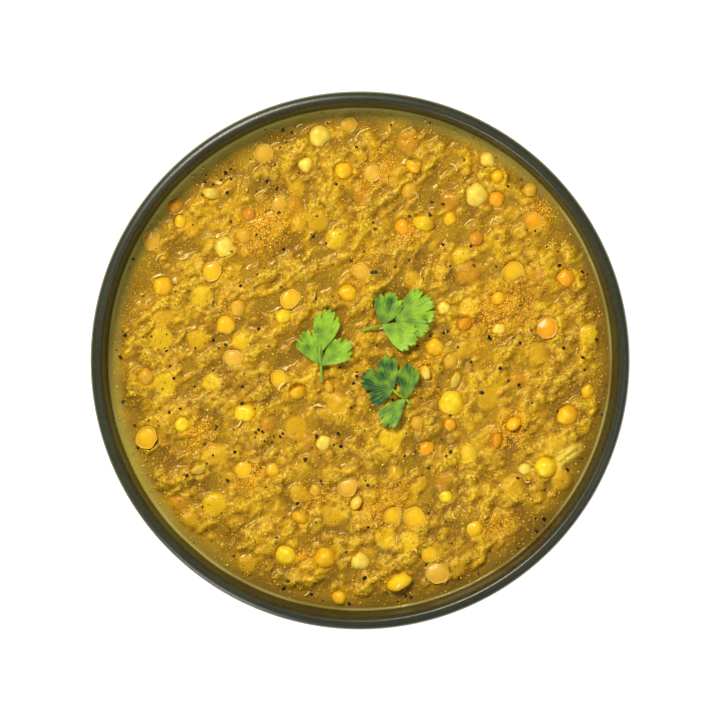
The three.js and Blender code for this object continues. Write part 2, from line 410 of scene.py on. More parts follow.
# %% Peas that catch the eye: bearing, share of the radius, diameter in millimetres, colour
WHOLE = [
    (95, 0.75, 6, AMBER), (140, 0.95, 5, BROWN), (45, 0.95, 5, TAN), (10, 0.30, 6, AMBER),
    (260, 0.80, 7, AMBER), (345, 0.85, 7, AMBER), (330, 0.85, 7, YELLOW), (265, 0.95, 5, AMBER),
]
DOMES = [
    (100, 0.90, 7, PALE), (55, 0.80, 7, PALE), (335, 0.40, 8, YELLOW), (205, 0.50, 7, YELLOW),
    (270, 0.80, 6, PALE), (150, 0.35, 5, YELLOW), (165, 0.55, 6, AMBER),
]
CUPS = [
    (115, 0.90, 6, TAN), (150, 0.95, 6, TAN), (140, 0.70, 6, PALE), (30, 0.70, 7, AMBER),
    (10, 0.75, 7, ORANGE), (200, 0.90, 7, AMBER), (290, 0.90, 7, PINK),
]
ON_EDGE = [(65, 0.60, 7, YELLOW), (280, 0.90, 8, YELLOW)]

# %% Radius of the dal, and one place on it
DAL_RADIUS = dal_high.x + 0.4


def spot(bearing, share):
    """A place on the dal, from a bearing in degrees and a share of its radius."""
    turn, reach = np.radians(bearing), share * DAL_RADIUS
    return reach * np.cos(turn), reach * np.sin(turn)


# %% Scatter the rest
taken = [(*spot(pea[0], pea[1]), pea[2]) for pea in WHOLE + DOMES + CUPS + ON_EDGE]
print(len(taken), "peas placed by hand")
for node in ("coriander_leaf_left", "coriander_leaf_right", "coriander_leaf_front"):
    low, high = (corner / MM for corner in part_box(node))
    width = 0.8 * max(high.x - low.x, high.y - low.y)
    taken.append(((low.x + high.x) / 2, (low.y + high.y) / 2, width))


def scatter(count, sizes, tints, rng):
    """Peas at random places, none of them over a leaf or another pea."""
    peas = []
    while len(peas) < count:
        bearing, share = rng.uniform(0, 360), 0.94 * math.sqrt(rng.random())
        diameter = rng.uniform(*sizes)
        x, y = spot(bearing, share)
        if all(math.hypot(x - tx, y - ty) > (diameter + td) / 2 - 0.2 for tx, ty, td in taken):
            peas.append((bearing, share, diameter, tints[rng.integers(len(tints))]))
            taken.append((x, y, diameter))
    return peas


rng = np.random.default_rng(11)
WHOLE += scatter(8, (4.2, 6.0), (AMBER, ORANGE, BROWN, TAN), rng)
DOMES += scatter(24, (4.2, 6.6), (AMBER, AMBER, ORANGE, YELLOW, PALE, TAN), rng)
CUPS += scatter(14, (4.8, 6.8), (AMBER, AMBER, TAN, PINK, ORANGE), rng)
ON_EDGE += scatter(12, (4.4, 6.0), (AMBER, PALE, TAN, ORANGE), rng)
sunk = scatter(48, (4.0, 7.0), (AMBER, ORANGE, YELLOW, AMBER), rng)
print(len(WHOLE + DOMES + CUPS + ON_EDGE), "peas in sight and", len(sunk), "sunk")

# %% [markdown]
# ## The dal's surface
# Dal is mash standing in sauce. Where the mash is high it breaks the surface in crumbs and soft
# ridges that the spoon drew across the bowl, and where it is low the sauce lies over it, smooth
# and brown. So the surface is made as two heights, mash and sauce, and takes whichever is higher.
# A sheet of even quads carries it: a square grid whose rings are drawn out into circles.

# %% Noise that runs with the spoon
SPOON_ANGLE = math.radians(38)


def turned(x, y):
    """Places measured along the spoon's strokes and across them."""
    along = x * math.cos(SPOON_ANGLE) + y * math.sin(SPOON_ANGLE)
    across = y * math.cos(SPOON_ANGLE) - x * math.sin(SPOON_ANGLE)
    return along, across


def chance(column, row, seed):
    """A repeatable random number from 0 to 1 for each cell of a lattice."""
    mixed = (column * 374761393 + row * 668265263 + seed * 974711) & 0xFFFFFFFF
    mixed = ((mixed ^ (mixed >> 13)) * 1274126177) & 0xFFFFFFFF
    return ((mixed ^ (mixed >> 16)) & 0xFFFF) / 0xFFFF


def ripple(x, y, seed):
    """Smooth gradient noise, about -1 to 1, with features one unit across."""
    column, row = np.floor(x).astype(np.int64), np.floor(y).astype(np.int64)
    inside_x, inside_y = x - column, y - row
    blend_x = inside_x ** 3 * (inside_x * (inside_x * 6 - 15) + 10)
    blend_y = inside_y ** 3 * (inside_y * (inside_y * 6 - 15) + 10)

    def corner(right, up):
        angle = 2 * math.pi * chance(column + right, row + up, seed)
        return np.cos(angle) * (inside_x - right) + np.sin(angle) * (inside_y - up)

    lower = corner(0, 0) * (1 - blend_x) + corner(1, 0) * blend_x
    upper = corner(0, 1) * (1 - blend_x) + corner(1, 1) * blend_x
    return 1.6 * (lower * (1 - blend_y) + upper * blend_y)


def field(x, y, size, seed, octaves=1, stretch=1.0):
    """Smooth noise with features of this size, drawn out along the strokes."""
    along, across = turned(x, y)
    layers = [
        ripple(along * 2 ** n / (size * stretch) + 17.3 * n, across * 2 ** n / size, seed + n) / 2 ** n
        for n in range(octaves)
    ]
    return sum(layers)


def crumb_field(x, y, size, seed, stretch=1.0):
    """Rounded crumbs packed together: 1 at the top of each and about 0 where they meet."""
    along, across = turned(x, y)
    along, across = along / (size * stretch), across / size
    column, row = np.floor(along).astype(np.int64), np.floor(across).astype(np.int64)
    nearest = np.full(x.shape, 9.0)
    for right in (-1, 0, 1):
        for up in (-1, 0, 1):
            middle_x = column + right + chance(column + right, row + up, seed)
            middle_y = row + up + chance(column + right, row + up, seed + 1)
            nearest = np.minimum(nearest, np.hypot(along - middle_x, across - middle_y))
    return 1 - (nearest / 0.75) ** 2


def step(low, high, values):
    """A smooth step from 0 at low to 1 at high."""
    share = np.clip((values - low) / (high - low), 0, 1)
    return share * share * (3 - 2 * share)


# %% Broad relief, as the solid has it
HEAP_HEIGHT = 0.8
RIDGE_HEIGHT, RIDGE_SPACING = 0.6, 15
RIDGE_WOBBLE, RIDGE_WOBBLE_LENGTH = 2.5, 9
RIDGE_SWAY, RIDGE_SWAY_LENGTH = 1.5, 23
LUMP_HEIGHT, LUMP_SPACING, LUMP_DRIFT_LENGTH = 0.45, 10, 6
CALM_WIDTH, FLAT_BORDER = 9, 1


def broad_relief(x, y, share=1.0):
    """The heap and, by this share, the ridges and lumps that the spoon left."""
    along, across = turned(x, y)
    wobble = RIDGE_WOBBLE * np.sin(along / RIDGE_WOBBLE_LENGTH)
    bent = across + wobble + RIDGE_SWAY * np.sin(along / RIDGE_SWAY_LENGTH)
    ridges = RIDGE_HEIGHT * np.sin(2 * math.pi * bent / RIDGE_SPACING)
    lump_phase = 2 * math.pi * along / LUMP_SPACING + np.sin(across / LUMP_DRIFT_LENGTH)
    lumps = LUMP_HEIGHT * np.sin(lump_phase) * np.cos(2 * math.pi * across / LUMP_SPACING)
    reach = np.hypot(x, y)
    calm = 1 - step(dal_high.x - CALM_WIDTH, dal_high.x - FLAT_BORDER, reach)
    heap = HEAP_HEIGHT * np.cos(math.pi * reach / (2 * dal_high.x))
    return heap + share * calm * (ridges + lumps)


# %% Spice and pepper that were sprinkled on: bearing, share of the radius, reach in millimetres
def patches(count, reach, rng):
    """Patches at random places, each with a reach between two lengths."""
    return [(rng.uniform(0, 360), math.sqrt(rng.random()), rng.uniform(*reach)) for _ in range(count)]


rng = np.random.default_rng(37)
SPICE_PATCHES = [
    (125, 0.65, 8), (85, 0.75, 6), (20, 0.60, 9), (335, 0.65, 6), (310, 0.85, 5), (280, 0.60, 7),
    (205, 0.70, 5),
] + patches(8, (2.5, 5), rng)
PEPPER_PATCHES = [(50, 0.45, 4), (25, 0.45, 4)] + patches(14, (3, 6), rng)


def spread(patches_here, base, x, y):
    """How thickly something lies at each place that was sprinkled in patches."""
    share = np.full(np.shape(x), base)
    for bearing, out, reach in patches_here:
        px, py = spot(bearing, out)
        along, aside = turned(x - px, y - py)
        share = np.maximum(share, 1 - step(0.2, 1.3, np.hypot(along / 1.4, aside) / reach))
    return share


# %% Heights of mash and sauce, in millimetres
SAUCE_SHARE = 0.4
MASH_SINK = 0.38
CLUMP_HEIGHT, SWELL_HEIGHT, STROKE_HEIGHT = 0.6, 0.75, 0.55
BLOB_HEIGHT, DRAWN_BLOB_LOSS = 1.2, 0.4
SHORE_SINK = 1.9
CRUMB_HEIGHT, GRAIN_HEIGHT = 0.42, 0.12
SAUCE_SINK, SAUCE_SWELL = 0.05, 0.3
STRAND_PLACE, STRAND_LENGTH, STRAND_WIDTH = (335, 0.9), 6.5, 2.6
SOFTNESS = 0.15
CLIMB_HEIGHT, CLIMB_WIDTH = 0.45, 0.55


def dal_surface(x, y):
    """Height over the level at each place, and the masks that colour it."""
    reach = np.hypot(x, y)
    from_wall = DAL_RADIUS - reach
    mash_base, sauce_base = broad_relief(x, y), broad_relief(x, y, SAUCE_SHARE)
    shore = 3.2 + 2.2 * field(x, y, 22, 33) + 2.0 * step(0, 60, y - x)
    drawn = step(-45, 35, y - x)
    clumps = field(x, y, 2.9, 77, octaves=2, stretch=1.7)
    ridges = 1 - 2.6 * np.abs(field(x, y, 5.5, 21, octaves=2, stretch=2.4))
    swell = field(x, y, 13, 51, octaves=2, stretch=1.5)
    blobs = crumb_field(x, y, 3.6, 63, stretch=1.4)
    crumbs = crumb_field(x, y, 1.8, 29, stretch=1.4)
    grains = crumb_field(x, y, 1.05, 31)
    mash = mash_base - sauce_base + CLUMP_HEIGHT * clumps + SWELL_HEIGHT * swell - MASH_SINK
    mash += STROKE_HEIGHT * drawn * ridges + (BLOB_HEIGHT - DRAWN_BLOB_LOSS * drawn) * blobs
    mash -= SHORE_SINK * (1 - step(shore * 0.4, shore + 3.0, from_wall))
    mash += (CRUMB_HEIGHT * crumbs + GRAIN_HEIGHT * grains) * step(-0.8, 0.4, mash)
    sauce = -SAUCE_SINK + SAUCE_SWELL * field(x, y, 14, 12, octaves=2)
    middle_x, middle_y = spot(*STRAND_PLACE)
    strand_x, strand_y = turned(x - middle_x, y - middle_y)
    strand = np.exp(-(strand_x / STRAND_LENGTH) ** 4 - (strand_y / STRAND_WIDTH) ** 2)
    mash = np.maximum(mash, sauce - 0.5 + strand * (1.3 + 0.7 * crumbs + 0.4 * grains))
    detail = sauce + SOFTNESS * np.logaddexp(0, (mash - sauce) / SOFTNESS)
    height = sauce_base + detail
    climb = CLIMB_HEIGHT * np.exp(-np.clip(from_wall, 0, None) / CLIMB_WIDTH)
    # Painted shade: the crevices between crumbs, and the mask made from them below, darken the colour where
    # shade falls.
    crevice_shade = 1 - step(0.0, 0.75, 0.7 * crumbs + 0.3 * grains)
    drawn_up = np.exp(-((from_wall - 0.35) / 0.35) ** 2)
    masks = {
        "mash": step(-0.3, 0.7, mash - sauce),
        # Partly painted highlight: the crests are paler, partly as the mash's own colour and partly as
        # painted highlight.
        "crest_and_highlight": step(0.4, 1.6, mash - sauce),
        "painted_crevice_shade": crevice_shade * step(-0.4, 0.3, mash - sauce),
        "shore": (1 - step(0.5, 5.0, from_wall)) * 0.85,
        # Painted light: the shore's upper-left side, where the wall's shadow falls, is painted paler and
        # greener, and the lower-right side darker brown.
        "shore_painted_light": step(-50, 50, y - x),
        # Painted highlight: a pale band along the wall stands for the light caught on the meniscus.
        "meniscus": drawn_up * step(-0.5, 0.4, field(x, y, 26, 71)),
        "strand": 0.75 * step(0.3, 0.9, strand),
        "spice": spread(SPICE_PATCHES, 0.0, x, y),
    }
    return height, climb, sauce_base + sauce, masks


# %% Peas press into the surface, or lift it
FILM_HEIGHT, FILM_BORDER = 1.05, 0.5
CRUMBS_LEFT = 0.25
HOLLOW_UNDER = 0.1
RING_HEIGHT, RING_WIDTH = 0.28, 0.45


def settle_peas(x, y, height, calm, masks):
    """Clear the crumbs from under each pea, draw the sauce up round it, or cover it with a film."""
    masks["pea"] = np.zeros_like(x)
    masks["pea_light"] = np.zeros_like(x)
    for peas, covered in ((WHOLE, 0), (DOMES, 0), (CUPS, 0), (ON_EDGE, 0), (sunk, 1)):
        for pea in peas:
            px, py = spot(pea[0], pea[1])
            radius = pea[2] / 2
            near = np.hypot(x - px, y - py) < radius + 3
            away = np.hypot(x[near] - px, y[near] - py)
            under = 1 - step(radius - 0.4, radius + 0.7, away)
            if covered:
                dome = FILM_HEIGHT * np.sqrt(np.clip(1 - (away / (radius + FILM_BORDER)) ** 2, 0, 1))
                lifted = calm[near] + dome + CRUMBS_LEFT * (height[near] - calm[near])
                height[near] += under * (lifted - height[near])
                masks["pea"][near] = np.maximum(masks["pea"][near], under)
                light = 1.0 if pea[3] == YELLOW else 0.0 if pea[3] in (BROWN, ORANGE) else 0.5
                masks["pea_light"][near] = np.where(under > 0.05, light, masks["pea_light"][near])
            else:
                height[near] += under * (calm[near] - HOLLOW_UNDER - height[near])
                height[near] += RING_HEIGHT * np.exp(-((away - radius) / RING_WIDTH) ** 2)


# %% A round sheet of even quads
def round_sheet(cells, radius):
    """A square grid whose square rings are drawn out into circles."""
    sheet = bmesh.new()
    bmesh.ops.create_grid(sheet, x_segments=cells, y_segments=cells, size=1)
    for vert in sheet.verts:
        x, y, _ = vert.co
        if abs(x) > abs(y):
            turn = math.pi / 4 * y / x
            vert.co = (x * math.cos(turn) * radius, x * math.sin(turn) * radius, 0)
        elif y:
            turn = math.pi / 4 * x / y
            vert.co = (y * math.sin(turn) * radius, y * math.cos(turn) * radius, 0)
    return sheet


# %% Shape the sheet, then close it along the hollow
PAINTED_HIGHLIGHT_REACH = 0.5
PAINTED_HIGHLIGHT_SHARE = 0.6

sheet = round_sheet(288, DAL_RADIUS)
places = np.array([vert.co for vert in sheet.verts])
xs, ys = places[:, 0], places[:, 1]
height, climb, calm, masks = dal_surface(xs, ys)
# Painted highlight: mash faces turned towards the key light are painted paler, standing in for the light
# they catch.
key_turn = math.radians(KEY_BEARING)
lit_x, lit_y = xs + PAINTED_HIGHLIGHT_REACH * math.cos(key_turn), ys + PAINTED_HIGHLIGHT_REACH * math.sin(key_turn)
fall = height - dal_surface(lit_x, lit_y)[0]
masks["facing"] = PAINTED_HIGHLIGHT_SHARE * step(0.22, 0.6, fall) * masks["mash"]
settle_peas(xs, ys, height, calm, masks)
for vert, rise in zip(sheet.verts, height + climb):
    vert.co.z = DAL_LEVEL + rise

border = [edge for edge in sheet.edges if edge.is_boundary]
for angle in np.radians((12, 24, 42, 64, 84)):
    grown = bmesh.ops.extrude_edge_only(sheet, edges=border)["geom"]
    radius, level = hollow_point(angle, 0.2)
    for vert in (item for item in grown if isinstance(item, bmesh.types.BMVert)):
        flat = Vector((vert.co.x, vert.co.y)).normalized() * radius
        vert.co = (flat.x, flat.y, level)
    border = [item for item in grown if isinstance(item, bmesh.types.BMEdge) and item.is_boundary]
bmesh.ops.contextual_create(sheet, geom=border)
bmesh.ops.recalc_face_normals(sheet, faces=sheet.faces)

dal_mesh = bpy.data.meshes.new("dal")
sheet.to_mesh(dal_mesh)
sheet.free()
hidden = len(dal_mesh.vertices) - len(xs)
for name, values in masks.items():
    mark(dal_mesh, name, np.concatenate((values, np.zeros(hidden))))
print(f"dal surface: {len(xs)} points, {height.min():.1f} to {height.max():.1f} mm")

# %% [markdown]
# ### Simmered split peas
# The sauce is water, starch and turmeric: wet, cloudy and olive brown. The mash that stands out of
# it is yellow and just as wet. Light and shade are also painted into the colour: shade in the
# crevices between crumbs, highlight on the crests, which are partly paler of their own, and on the
# faces turned towards the key light, paler light on the shore's upper left where the wall's shadow
# falls, and a highlight along the meniscus on the wall. Light enters a little way and comes back
# warmer, so the shader has some subsurface, and a thin coat stands for the film of water and oil
# over everything.

# %% Dal
dal, shader = blank_material("simmered_split_pea_mash_in_sauce", {
    "IOR": 1.42, "Specular Tint": linear("#ffe08a"), "Coat Weight": 0.12, "Coat Roughness": 0.1,
    "Subsurface Weight": 0.2, "Subsurface Radius": (1.0, 0.55, 0.12), "Subsurface Scale": 0.8 * MM,
})
mask = {name: stored(dal, name) for name in masks}
grit = speckle(dal, 1.0, 3, 0.7)
specks = speckle(dal, 0.55, 1)
drift = ramp(dal, speckle(dal, 9, 3), 0.38, 0.62)
bright_grit = ramp(dal, grit, 0.42, 0.66)
mash_share = add(dal, "ShaderNodeMath", {
    0: mask["mash"], 1: ramp(dal, grit, 0.3, 0.7, -0.3, 0.3),
}, operation="ADD", use_clamp=True).outputs["Value"]

# From the sauce up: mash, its crests, paler partly of their own and partly by painted highlight,
# a painted highlight on the ridges' faces turned towards the key light, painted shade in the
# crevices, gold specks, sunk peas, spice, the shore, painted paler at the upper left where the
# wall's shadow falls, a painted highlight along the meniscus on the wall, and the pale strand.
layers = [
    (mash_share, blend(dal, drift, "#ac7e1a", "#d09e14")),
    (times(dal, mask["crest_and_highlight"], bright_grit), "#f6d332"),
    (times(dal, mask["facing"], bright_grit), "#f9e05c"),
    (times(dal, mask["painted_crevice_shade"], 0.72), "#805616"),
    (ramp(dal, specks, 0.6, 0.68, 0, 0.6), "#f4bc1c"),
    (times(dal, mask["pea"], 0.72), blend(dal, mask["pea_light"], "#cc8c1c", "#f2c81c")),
    (times(dal, mask["spice"], ramp(dal, grit, 0.46, 0.6)), "#dc9a10"),
    (mask["shore"], blend(dal, mask["shore_painted_light"], "#755c1e", "#b6a84a")),
    (times(dal, mask["meniscus"], 0.8), "#c4c06c"),
    (mask["strand"], "#f3d850"),
]
colour = blend(dal, drift, "#86641b", "#ab8520")
for share, over in layers:
    colour = blend(dal, share, colour, over)
plug(dal, shader.inputs["Base Color"], colour)
plug(dal, shader.inputs["Roughness"], ramp(dal, mash_share, 0, 1, 0.24, 0.22))

coarse_bump = add(dal, "ShaderNodeBump", {
    "Height": grit, "Strength": mask["mash"], "Distance": 0.3 * MM,
})
bump = add(dal, "ShaderNodeBump", {
    "Height": specks, "Strength": 0.5, "Distance": 0.08 * MM, "Normal": coarse_bump.outputs["Normal"],
})
plug(dal, shader.inputs["Normal"], bump.outputs["Normal"])
plug(dal, shader.inputs["Coat Normal"], bump.outputs["Normal"])

dal_piece = finish(dal_mesh, "dal_mash", dal, ["dal"])
dal_tree = BVHTree.FromObject(dal_piece, bpy.context.evaluated_depsgraph_get())


def surface(x, y):
    """Height in millimetres of the finished dal under a place."""
    hit = dal_tree.ray_cast(Vector((x * MM, y * MM, BOWL_HEIGHT * MM)), Vector((0, 0, -1)))[0]
    return hit.z / MM


# %% [markdown]
# ## Split peas
# A pea is a ball, a little flat and dented. A half that lies dome up is the same ball with its
# underside pressed flat. A half that lies flat side up is a shallow cup: its skin stands round it
# in a thin pale rim and the flesh swells inside, so it is an outline that is spun.

# %% Shapes of a pea, one millimetre across
CUP_OUTLINE = [
    (0, -0.30), (0.20, -0.28), (0.36, -0.19), (0.46, -0.07), (0.495, 0.02), (0.50, 0.06), (0.485, 0.08),
    (0.465, 0.075), (0.45, 0.05), (0.42, 0.045), (0.36, 0.06), (0.24, 0.085), (0.12, 0.1), (0, 0.1),
]


def ball(flatness, underside):
    """A ball flattened by one share, with its lower half flattened further by another."""
    shape = bmesh.new()
    bmesh.ops.create_uvsphere(shape, u_segments=20, v_segments=12, radius=0.5)
    lower = [vert for vert in shape.verts if vert.co.z < 0]
    bmesh.ops.scale(shape, vec=(1, 1, underside), verts=lower)
    bmesh.ops.scale(shape, vec=(1, 1, flatness), verts=shape.verts)
    return shape


# %% Flesh and skin of a cooked pea
pea_flesh, shader = blank_material("boiled_split_pea", {
    "Roughness": 0.42, "IOR": 1.4, "Specular Tint": linear("#ffeaa0"),
    "Coat Weight": 0.3, "Coat Roughness": 0.16,
    "Subsurface Weight": 0.5, "Subsurface Radius": (1.0, 0.86, 0.2), "Subsurface Scale": 1.8 * MM,
})
clouds = speckle(pea_flesh, 2.2, 3)
cloud_share = ramp(pea_flesh, clouds, 0.42, 0.7, 0, 0.5)
flesh = blend(pea_flesh, cloud_share, stored(pea_flesh, "tint", "Color"), "#e8a51a")
# Painted shade: the flesh darkens towards each pea's sides, where shade falls on a rounded pea.
painted_side_shade = ramp(pea_flesh, stored(pea_flesh, "reach"), 0.24, 0.5, 0, 0.45)
flesh_with_side_shade = blend(pea_flesh, painted_side_shade, flesh, "#d08c12")
rim_share = times(pea_flesh, stored(pea_flesh, "rim"), 0.6)
plug(pea_flesh, shader.inputs["Base Color"], blend(pea_flesh, rim_share, flesh_with_side_shade, "#f2cc58"))
bump = add(pea_flesh, "ShaderNodeBump", {"Height": clouds, "Strength": 0.3, "Distance": 0.2 * MM})
plug(pea_flesh, shader.inputs["Normal"], bump.outputs["Normal"])


# %% Lay the peas
def lay(peas, lift, stretch, tip, rng):
    """Places for peas: each sunk or lifted by a share of its size, stretched, tipped and turned."""
    places, tints = [], []
    for pea in peas:
        x, y = spot(pea[0], pea[1])
        size = pea[2]
        level = DAL_LEVEL + broad_relief(x, y, SAUCE_SHARE)
        yaw = rng.uniform(0, 2 * math.pi)
        tilt = math.radians(tip[0] + rng.uniform(-1, 1) * tip[1])
        turn = Euler((tilt, rng.uniform(-0.12, 0.12), yaw)).to_matrix().to_4x4()
        grow = Matrix.Diagonal((size, size * rng.uniform(*stretch), size, 1))
        places.append(Matrix.Translation((x, y, level + lift * size)) @ turn @ grow)
        tints.append(pea[3])
    return places, tints


rng = np.random.default_rng(5)
whole = copies(ball(0.88, 1), *lay(WHOLE, -0.15, (0.88, 1.05), (0, 12), rng), roughness=0.14)
finish(whole, "whole_peas", pea_flesh)
domes = copies(ball(0.62, 0.3), *lay(DOMES, -0.09, (0.8, 1.05), (0, 11), rng), roughness=0.2)
finish(domes, "pea_halves_dome_up", pea_flesh)
cup_places = lay(CUPS, 0.02, (0.84, 1.05), (0, 9), rng)
cups = copies(spun(CUP_OUTLINE, 24), *cup_places, roughness=0.16, rimmed=True)
finish(cups, "pea_halves_flat_up", pea_flesh)
edges = copies(ball(0.62, 0.3), *lay(ON_EDGE, 0.04, (0.9, 1.0), (58, 8), rng), roughness=0.16)
finish(edges, "pea_halves_on_edge", pea_flesh)

# %% [markdown]
# ## Coriander leaves
# A coriander leaf is a stalk that forks into blades, and each blade is a fan with a scalloped
# edge. A flat grid makes one: its rows become arcs, its sides draw in to the stalk, and its outer
# row is bitten into teeth. Veins run out from the neck, the blade swells between them, and its
# edge curls up from the dal.

# %% Leaves: the fork as shares of the leaf's box, then stalks and blades in millimetres and degrees
LEAVES = {
    "coriander_leaf_left": {
        "fork": (0.45, 0.23),
        "stalks": [[(0.4, -5.0), (0.1, -2.4), (0, 0)], [(0, 0), (-0.4, 3.2), (-0.2, 6.2)]],
        "blades": [
            {"base": (0, 0), "bearing": 118, "length": 10.8, "spread": 27, "taper": 0.2, "light": 0.65},
            {"base": (-0.2, 3.8), "bearing": 77, "length": 12.6, "spread": 26, "taper": 0.3, "light": 0.85},
            {"base": (0.3, 0), "bearing": 38, "length": 10.6, "spread": 29, "taper": 0.3, "light": 0.75},
        ],
    },
    "coriander_leaf_right": {
        "fork": (0.27, 0.45),
        "stalks": [[(-6.0, -1.4), (-3.0, -0.6), (0, 0)], [(0, 0), (3.8, 0.5), (7.2, 1.1)]],
        "blades": [
            {"base": (0, 0.3), "bearing": 73, "length": 9.8, "spread": 36, "taper": 0.25, "light": 0.4},
            {"base": (4.0, 1.3), "bearing": 31, "length": 12.2, "spread": 33, "taper": 0.15, "light": 0.8},
            {"base": (4.6, 1.0), "bearing": -12, "length": 9.4, "spread": 24, "taper": 0.2, "light": 0.75},
            {"base": (0, -0.1), "bearing": -25, "length": 11.0, "spread": 30, "taper": 0.2, "light": 0.9},
        ],
    },
    "coriander_leaf_front": {
        "fork": (0.73, 0.35),
        "stalks": [[(2.1, -1.8), (1.0, -0.9), (0, 0)], [(0, 0), (-2.2, 1.4), (-4.2, 3.1)]],
        "blades": [
            {"base": (-0.1, 0.2), "bearing": 84, "length": 10.4, "spread": 27, "taper": 0.3, "light": 0.3},
            {"base": (-3.8, 3.3), "bearing": 104, "length": 9.8, "spread": 23, "taper": 0.2, "light": 0.3},
            {"base": (-4.0, 3.1), "bearing": 156, "length": 9.8, "spread": 23, "taper": 0.15, "light": 0.15},
            {"base": (-4.0, 2.9), "bearing": 208, "length": 7.4, "spread": 23, "taper": 0.15, "light": 0.15},
            {"base": (-0.4, 0.1), "bearing": 229, "length": 9.8, "spread": 25, "taper": 0.15, "light": 0.5},
        ],
    },
}
LEAF_THICKNESS = 0.28
BLADE_LIFT, BLADE_STEP = 0.5, 0.2
NECK_HALF_WIDTH = 0.4
TOOTH_WIDTH, TOOTH_BITE = 1.3, 0.09
NOTCH_PLACE, NOTCH_WIDTH, NOTCH_BITE = 0.4, 0.06, 0.17
VEIN_WIDTH, VEIN_SWELL = 0.16, 0.16
CURL_HEIGHT = 1.0
STALK_RADIUS, STALK_LIFT, STALK_RISE = 0.42, 0.55, 0.05


# %% One blade
def blade(leaf, light_layer, vein_layer, fork, rest, base, bearing, length, spread, taper, light):
    """Bend a grid into a fan: v runs from neck to edge, u from side to side."""
    middle, half = math.radians(bearing), math.radians(spread)
    teeth = max(4, round(2 * half * length * (1 - taper / 2) / TOOTH_WIDTH))
    grid = bmesh.ops.create_grid(leaf, x_segments=teeth * 6, y_segments=14, size=1)
    for vert in grid["verts"]:
        u, v = vert.co.x, (vert.co.y + 1) / 2
        scallop = 1 - abs(math.sin(math.pi * teeth * (u + 1) / 2)) ** 0.6
        notch = math.exp(-((abs(u) - NOTCH_PLACE) / NOTCH_WIDTH) ** 2)
        bite = TOOTH_BITE * scallop * v ** 7 + NOTCH_BITE * notch * v ** 4
        reach = length * v * (1 - taper * u * u) * (1.04 - bite)
        direction = middle - u * half * (1 + 0.55 * (1 - v) * v ** 0.5)
        neck = u * NECK_HALF_WIDTH * (1 - v)
        x = fork[0] + base[0] + neck * math.sin(middle) + reach * math.cos(direction)
        y = fork[1] + base[1] - neck * math.cos(middle) + reach * math.sin(direction)
        vein_line = (u * teeth / 2 + 0.5 * (teeth % 2)) % 1
        off_vein = abs(vein_line - round(vein_line)) * 2 * half * length * v / (teeth / 2) / 2
        vein = math.exp(-(off_vein / VEIN_WIDTH) ** 2)
        swell = VEIN_SWELL * (1 - vein) * v + 0.35 * noise.noise((x / 3.0, y / 3.0, bearing))
        curled = CURL_HEIGHT * v * v * (0.6 + 0.5 * noise.noise((u * 1.5, v, bearing)))
        vert.co = (x, y, rest + BLADE_LIFT + swell * v + curled)
        vert[vein_layer] = vein * (1 - 0.6 * v)
        mottle = 0.7 * noise.noise((x / 2.6, y / 2.6, 4.0)) + 0.25 * noise.noise((x, y, 9.0))
        vert[light_layer] = light + mottle + 0.35 * (v - 0.6) + 0.15 * u


def stalk(leaf, light_layer, fork, rest, points):
    """A round stalk drawn through points: one closed tube, with no face left inside its joints."""
    ring = bmesh.ops.create_circle(leaf, cap_ends=True, segments=8, radius=STALK_RADIUS)["verts"]
    start = Vector((fork[0] + points[0][0], fork[1] + points[0][1], rest + STALK_LIFT))
    heading = Vector((points[1][0] - points[0][0], points[1][1] - points[0][1], 0)).normalized()
    bmesh.ops.rotate(leaf, verts=ring, matrix=heading.to_track_quat("Z", "Y").to_matrix())
    bmesh.ops.translate(leaf, verts=ring, vec=start)
    for vert in ring:
        vert[light_layer] = 0.85
    face = next(face for face in ring[0].link_faces if len(face.verts) == 8)
    for joint, (here, there) in enumerate(zip(points, points[1:])):
        grown = bmesh.ops.extrude_face_region(leaf, geom=[face])["geom"]
        if joint:
            bmesh.ops.delete(leaf, geom=[face], context="FACES_ONLY")
        face = next(item for item in grown if isinstance(item, bmesh.types.BMFace))
        bmesh.ops.translate(leaf, verts=face.verts, vec=(there[0] - here[0], there[1] - here[1], STALK_RISE))
        for vert in face.verts:
            vert[light_layer] = 0.75


# %% Coriander
coriander, shader = blank_material("fresh_coriander_leaf", {
    "Roughness": 0.42, "IOR": 1.42,
    "Subsurface Weight": 0.2, "Subsurface Radius": (0.5, 1.0, 0.2), "Subsurface Scale": 0.6 * MM,
})
blade_colour = blend(coriander, stored(coriander, "light"), "#1c5222", "#98c62a")
vein_share = times(coriander, stored(coriander, "vein"), 0.28)
plug(coriander, shader.inputs["Base Color"], blend(coriander, vein_share, blade_colour, "#a8cc50"))
bump = add(coriander, "ShaderNodeBump", {
    "Height": speckle(coriander, 1.3, 2), "Strength": 0.7, "Distance": 0.35 * MM,
})
plug(coriander, shader.inputs["Normal"], bump.outputs["Normal"])

